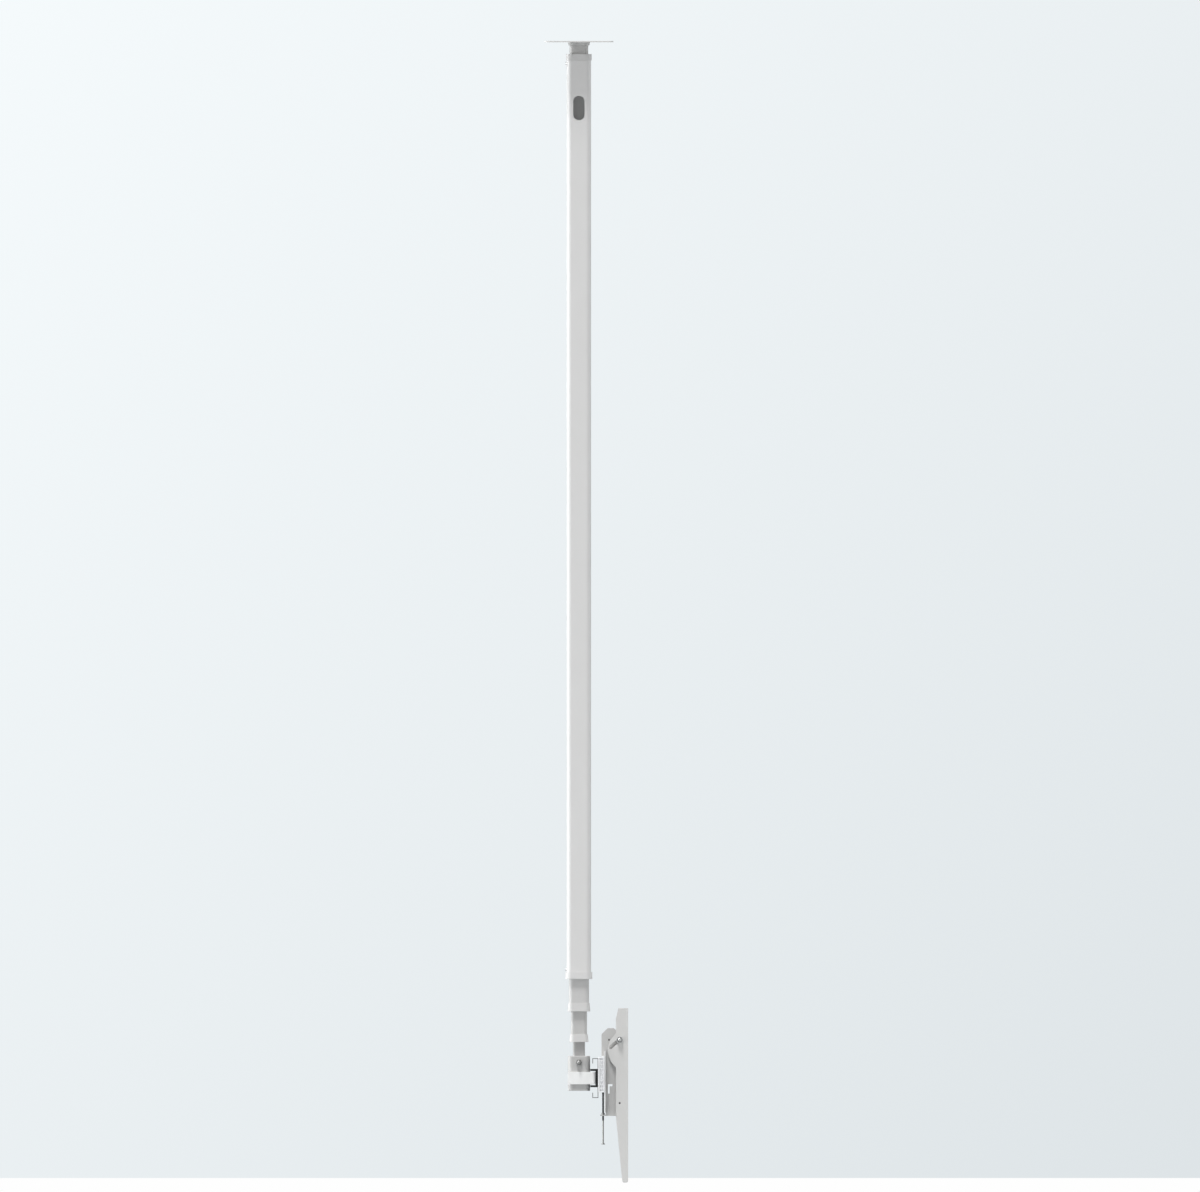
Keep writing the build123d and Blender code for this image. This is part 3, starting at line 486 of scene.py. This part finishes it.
# %% [markdown]
# The swivel is locked by a bolt through the sleeve with a nut on it. The tilt is clamped by a bolt
# through bracket and arm: its head is on the inner side, and its end stands out of a nut on the outer
# side. All of them lie along X, so each is modelled upright at the origin, laid over and moved to its
# place.

# %% Swivel lock bolt and nut, tilt bolts and tilt nuts
def lay_along_x(piece, place, sign):
    """Turn an upright piece so that it points along X, and move it to its place."""
    piece.rotation_euler = (0, sign * math.radians(90), 0)
    piece.location = place
    only(piece)
    settle()
    return piece


bolt_pitch = 0.0015
tilt_bar_radius = 0.004
tilt_head_height = 0.0055
low, high = (Vector(corner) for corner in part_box("swivel_lock_bolt"))
lock_bolt = finish_with(threaded_bar((high.z - low.z) / 2, high.x - low.x, bolt_pitch), satin_zinc)
lay_along_x(lock_bolt, (high.x, 0, (low.z + high.z) / 2), -1)
set_down(lock_bolt, "swivel_bolt", "head", "swivel_lock_bolt")
low, high = (Vector(corner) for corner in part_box("swivel_lock_nut"))
lock_nut = finish_with(hexagon((high.z - low.z) / 2, high.x - low.x), dull_zinc)
lay_along_x(lock_nut, (high.x, 0, (low.z + high.z) / 2), -1)
set_down(lock_nut, "swivel_nut", "head", "swivel_lock_nut")

for side, outward in (("left", -1), ("right", 1)):
    low, high = (Vector(corner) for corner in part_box(f"{side}_tilt_bolt"))
    middle = (low + high) / 2
    bar_length = high.x - low.x - tilt_head_height
    under_head = (middle.x - outward * (bar_length - tilt_head_height) / 2, middle.y, middle.z)
    bar = lay_along_x(threaded_bar(tilt_bar_radius, bar_length, bolt_pitch), under_head, outward)
    head = lay_along_x(hexagon((high.z - low.z) / 2, tilt_head_height), under_head, -outward)
    tilt_bolt = finish_with(join([head, bar]), plain_zinc)
    set_down(tilt_bolt, f"{side}_tilt_clamp_bolt", f"{side}_hook", f"{side}_tilt_bolt")
    low, high = (Vector(corner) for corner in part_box(f"{side}_tilt_nut"))
    tilt_nut = finish_with(hexagon((high.z - low.z) / 2, high.x - low.x), dull_zinc)
    lay_along_x(tilt_nut, (high.x if outward < 0 else low.x, middle.y, middle.z), outward)
    set_down(tilt_nut, f"{side}_tilt_clamp_nut", f"{side}_hook", f"{side}_tilt_nut")

# %% [markdown]
# A long screw from below keeps each hook from lifting off. Its upper part is threaded and blackened
# and ends in a rubber tip; the black of thread and tip is also painted shade, for the shadow of the rail
# just above them. The lower part is a thin rod of grey zinc with a flat head, and a cross recess in the
# head takes a screwdriver.

# %% Stop screws under the hooks
thread_length = 0.070
thread_radius = 0.0025
thread_pitch = 0.00125
tip_height = 0.004
tip_bevel = 0.0012
rod_radius = 0.0018
head_height = 0.0025
head_bevel = 0.0006
blade_size = (0.005, 0.0009, 0.0026)
for side in ("left", "right"):
    low, high = (Vector(corner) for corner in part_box(f"{side}_lock_screw"))
    middle = (low + high) / 2
    thread_bottom = high.z - thread_length
    thread = threaded_bar(thread_radius, thread_length - tip_height / 2, thread_pitch)
    thread.location = (middle.x, middle.y, thread_bottom)
    # Painted shade in part: the black of the thread also stands for the shadow of the rail above it.
    finish_with(thread, black_oxide_and_painted_shade)

    bpy.ops.mesh.primitive_cylinder_add(
        vertices=32,
        radius=thread_radius,
        depth=tip_height,
        location=(middle.x, middle.y, high.z - tip_height / 2),
    )
    # Painted shade in part: the black tip also stands for the shadow of the rail above it.
    tip = finish_with(bpy.context.object, rubber_and_painted_shade)
    bpy.ops.object.mode_set(mode="EDIT")
    pick("faces", lambda face: face.normal.z > facing)
    bpy.ops.mesh.bevel(offset=tip_bevel, segments=4, affect="EDGES")
    bpy.ops.object.mode_set(mode="OBJECT")

    rod_length = thread_bottom - low.z - head_height
    bpy.ops.mesh.primitive_cylinder_add(
        vertices=32,
        radius=rod_radius,
        depth=rod_length,
        location=(middle.x, middle.y, low.z + head_height + rod_length / 2),
    )
    rod = bpy.context.object
    settle()
    head_scale = (high.x - low.x) / 2 / rod_radius
    bpy.ops.object.mode_set(mode="EDIT")
    pick("faces", lambda face: face.normal.z < -facing)
    extrude()
    bpy.ops.transform.resize(value=(head_scale, head_scale, 1))
    extrude(z=-head_height)
    bpy.ops.mesh.bevel(offset=head_bevel, segments=3, affect="EDGES")
    bpy.ops.object.mode_set(mode="OBJECT")
    for turn in (45, 135):
        bpy.ops.mesh.primitive_cube_add(
            size=1,
            location=(middle.x, middle.y, low.z),
            rotation=(0, 0, math.radians(turn)),
            scale=blade_size,
        )
        combine(rod, bpy.context.object, "DIFFERENCE")
    screw = join([finish_with(rod, grey_zinc), thread, tip])
    set_down(screw, f"{side}_stop_screw", f"{side}_lock", f"{side}_lock_screw")

# %% [markdown]
# The rail's box is closed by moulded caps. Each cap has softened edges, a plug that goes into the box
# and a sunk panel with chevron ribs, which keep a thin moulding stiff. A chevron is one slanted rib,
# mirrored about the middle of the cap and repeated by the Array modifier. One cap is modelled, and
# the other one is a copy turned half round the middle of the rail.

# %% Ribbed end caps of the rail
cap_thickness = 0.0025
cap_plug_inset = 0.0021
cap_bevel = 0.0007
panel_inset = 0.0022
panel_depth = 0.0044
rib_length = 0.0058
rib_width = 0.0026
rib_pitch = 0.0098
rib_count = 8
rib_slant = math.radians(38)
rib_bevel = 0.0003
rib_seat = 0.0002
flat_facing = 0.999
low, high = (Vector(corner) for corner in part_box("left_end_cap"))
middle = (low + high) / 2
bpy.ops.mesh.primitive_cube_add(
    size=1,
    location=(low.x + cap_thickness / 2, middle.y, middle.z),
    scale=(cap_thickness, high.y - low.y, high.z - low.z),
)
cap = bpy.context.object
settle()
bpy.ops.object.mode_set(mode="EDIT")
pick("faces", lambda face: face.normal.x > facing)
bpy.ops.mesh.inset(thickness=cap_plug_inset)
extrude(x=high.x - low.x - cap_thickness)
pick("faces", lambda face: face.normal.x < -facing)
bpy.ops.mesh.bevel(offset=cap_bevel, segments=3, affect="EDGES")
pick("faces", lambda face: face.normal.x < -flat_facing)
bpy.ops.mesh.inset(thickness=panel_inset)
extrude(x=panel_depth)
bpy.ops.object.mode_set(mode="OBJECT")

bpy.ops.mesh.primitive_cube_add(
    size=1,
    location=(0, 0.3 * rib_length, 0),
    rotation=(rib_slant, 0, 0),
    scale=(panel_depth, rib_length, rib_width),
)
chevron = bpy.context.object
settle()
modify(chevron, "MIRROR", use_axis=(False, True, False), use_bisect_axis=(False, True, False))
modify(chevron, "BEVEL", width=rib_bevel, segments=2, limit_method="ANGLE", angle_limit=sharp_corner)
modify(
    chevron,
    "ARRAY",
    count=rib_count,
    use_relative_offset=False,
    use_constant_offset=True,
    constant_offset_displace=(0, 0, rib_pitch),
)
lowest_rib = middle.z - (rib_count - 1) * rib_pitch / 2
chevron.location = (low.x + panel_depth / 2 + rib_seat, middle.y, lowest_rib)
left_cap = finish_with(join([cap, chevron]), cap_abs)
bpy.ops.object.duplicate()
right_cap = bpy.context.object
right_cap.rotation_euler = (0, 0, math.radians(180))
right_cap.location = (0, 2 * middle.y, 0)
set_down(left_cap, "left_rail_cap", "head", "left_end_cap")
set_down(right_cap, "right_rail_cap", "head", "right_end_cap")

# %% [markdown]
# The picture is a straight side view with no vanishing lines, so the camera is orthographic. Its
# picture is 1200 by 1192 pixels, and one pixel is 2.46 mm on the object. The pole's axis and the top
# of the ceiling plate are known in pixels, and that fixes the middle of the picture.

# %% Camera
image_width = 1200
image_height = 1192
millimetres_per_pixel = 2.46
pole_pixel = 578.9
ceiling_pixel = 41.0
camera_distance = 6.0
middle_y = -(image_width / 2 - pole_pixel) * millimetres_per_pixel / 1000
middle_z = -(image_height / 2 - ceiling_pixel) * millimetres_per_pixel / 1000
camera_data = bpy.data.cameras.new("side_camera")
camera_data.type = "ORTHO"
camera_data.ortho_scale = image_width * millimetres_per_pixel / 1000
camera = bpy.data.objects.new("side_camera", camera_data)
camera.location = (-camera_distance, middle_y, middle_z)
camera.rotation_euler = (math.radians(90), 0, math.radians(-90))
scene.collection.objects.link(camera)
scene.camera = camera
print("camera looks along +X at", round(middle_y, 3), round(middle_z, 3))

# %% [markdown]
# The stage is a pale floor and a pale backdrop. The three inner tubes can come down by a metre each, so
# the floor lies below the reach of the fully extended pole.

# %% Floor
pole_travel = 3.0
floor_gap = 0.15
floor_size = 30
bpy.ops.mesh.primitive_plane_add(size=floor_size, location=(0, 0, cad_box[0][2] - pole_travel - floor_gap))
floor = bpy.context.object
floor.name = "floor"
settle()
floor_material, _, shader = new_material("pale_floor")
shader.inputs["Base Color"].default_value = linear("#B8BCBE")
shader.inputs["Roughness"].default_value = 0.8
floor.data.materials.append(floor_material)
print("floor at height", round(floor.data.vertices[0].co.z, 3))

# %% [markdown]
# The backdrop shows only to the eye, straight or by way of a mirror or a glass, and only from its front:
# a Light Path node tells which ray asks. So it takes no light away and never hides the mount from behind.
# Its colour runs from a cool white at the upper left to a pale grey-blue at the lower right. At the foot
# it turns white, and further down the white fades again.

# %% Backdrop
def seen_by_eye(tree):
    """Socket that is 1 for rays of the camera, of mirrors and of glass, and 0 for light on surfaces."""
    rays = add_node(tree, "ShaderNodeLightPath").outputs
    straight_or_mirrored = compute(tree, "MAXIMUM", rays["Is Camera Ray"], rays["Is Glossy Ray"])
    return compute(tree, "MAXIMUM", straight_or_mirrored, rays["Is Transmission Ray"])


backdrop_size = 14
backdrop_distance = 2.5
half_diagonal = 1.45
foot_pixel = 1178
foot_white = 0.04
foot_fade = 0.60
bpy.ops.mesh.primitive_plane_add(
    size=backdrop_size,
    location=(backdrop_distance, 0, middle_z),
    rotation=(0, math.radians(-90), 0),
)
backdrop = bpy.context.object
backdrop.name = "backdrop"
settle()
backdrop_material, tree, _ = new_material("pale_backdrop")
place = add_node(tree, "ShaderNodeSeparateXYZ", {"Vector": object_place(tree)}).outputs
along = add_node(
    tree,
    "ShaderNodeMapRange",
    {
        "Value": compute(tree, "ADD", place["Y"], place["Z"]),
        "From Min": middle_y + middle_z - 2 * half_diagonal,
        "From Max": middle_y + middle_z + 2 * half_diagonal,
    },
)
ramp = add_node(tree, "ShaderNodeValToRGB", {"Fac": along.outputs["Result"]})
ramp.color_ramp.elements[0].color = linear("#DEE4E7")
ramp.color_ramp.elements[1].color = linear("#F5FAFC")
foot_top = middle_z - (foot_pixel - image_height / 2) * millimetres_per_pixel / 1000
white_end = foot_top - foot_white
fade = add_node(
    tree,
    "ShaderNodeMapRange",
    {"Value": place["Z"], "From Min": white_end - foot_fade, "From Max": white_end},
)
foot = add_node(
    tree,
    "ShaderNodeMix",
    {"Factor": fade.outputs["Result"], "A": linear("#DEE4E7"), "B": linear("#FEFEFE")},
    data_type="RGBA",
)
above = compute(tree, "GREATER_THAN", place["Z"], foot_top)
shown = add_node(
    tree,
    "ShaderNodeMix",
    {"Factor": above, "A": foot.outputs["Result"], "B": ramp.outputs["Color"]},
    data_type="RGBA",
)
glow = add_node(tree, "ShaderNodeEmission", {"Color": shown.outputs["Result"]})
clear = add_node(tree, "ShaderNodeBsdfTransparent")
back = add_node(tree, "ShaderNodeNewGeometry").outputs["Backfacing"]
seen = compute(tree, "MULTIPLY", seen_by_eye(tree), compute(tree, "SUBTRACT", 1.0, back))
blend = add_node(tree, "ShaderNodeMixShader", {0: seen, 1: clear.outputs[0], 2: glow.outputs[0]})
tree.links.new(blend.outputs[0], tree.nodes["Material Output"].inputs["Surface"])
backdrop.data.materials.append(backdrop_material)
print("stage:", floor.name, backdrop.name)

# %% [markdown]
# The light is that of a bright studio: an even sky, a large bright panel at the left of the picture and a
# weak one at the right. The fourth power of the direction's Y gives the two panels soft borders, and a
# slanted factor makes the left one the stronger. The left panel whitens the left edges of the tubes and
# shows as a highlight in their gloss. To the camera the sky is plain pale.

# %% World light
sky_level = 0.35
panel_level = 1.75
panel_lean = 1.25
panel_gleam = 3.2
world = bpy.data.worlds.new("studio_sky")
scene.world = world
world.use_nodes = True
tree = world.node_tree
tree.nodes.clear()
direction = add_node(tree, "ShaderNodeTexCoord").outputs["Generated"]
aside = add_node(tree, "ShaderNodeSeparateXYZ", {"Vector": direction}).outputs["Y"]
square = compute(tree, "MULTIPLY", aside, aside)
sides = compute(tree, "MULTIPLY", square, square)
lean = compute(tree, "MULTIPLY_ADD", aside, panel_lean, panel_level)
panels = compute(tree, "MULTIPLY", sides, lean)
level = compute(tree, "ADD", panels, sky_level)
sky = add_node(tree, "ShaderNodeBackground", {"Color": (1, 1, 1, 1), "Strength": level})
mirrored = add_node(tree, "ShaderNodeLightPath").outputs["Is Glossy Ray"]
gleam = compute(tree, "MULTIPLY", panels, mirrored)
bright = compute(tree, "MULTIPLY_ADD", gleam, panel_gleam, 1.0)
pale = add_node(tree, "ShaderNodeBackground", {"Color": linear("#E8EDF0"), "Strength": bright})
either = add_node(
    tree, "ShaderNodeMixShader", {0: seen_by_eye(tree), 1: sky.outputs[0], 2: pale.outputs[0]}
)
add_node(tree, "ShaderNodeOutputWorld", {"Surface": either.outputs[0]})
print("world:", world.name, "with", len(tree.nodes), "nodes")

# %% [markdown]
# One soft lamp stands above the left shoulder of the viewer. It draws the soft shadows under the collars
# and the strap. The Standard view keeps the colours as they were chosen.

# %% Key lamp
key_direction = Vector((0.30, -0.14, -0.94))
key_data = bpy.data.lights.new("soft_key", "SUN")
key_data.energy = 2.75
key_data.angle = math.radians(14)
key = bpy.data.objects.new("soft_key", key_data)
key.rotation_euler = key_direction.to_track_quat("-Z", "Y").to_euler()
scene.collection.objects.link(key)
scene.view_settings.view_transform = "Standard"
print("lamp:", key.name)
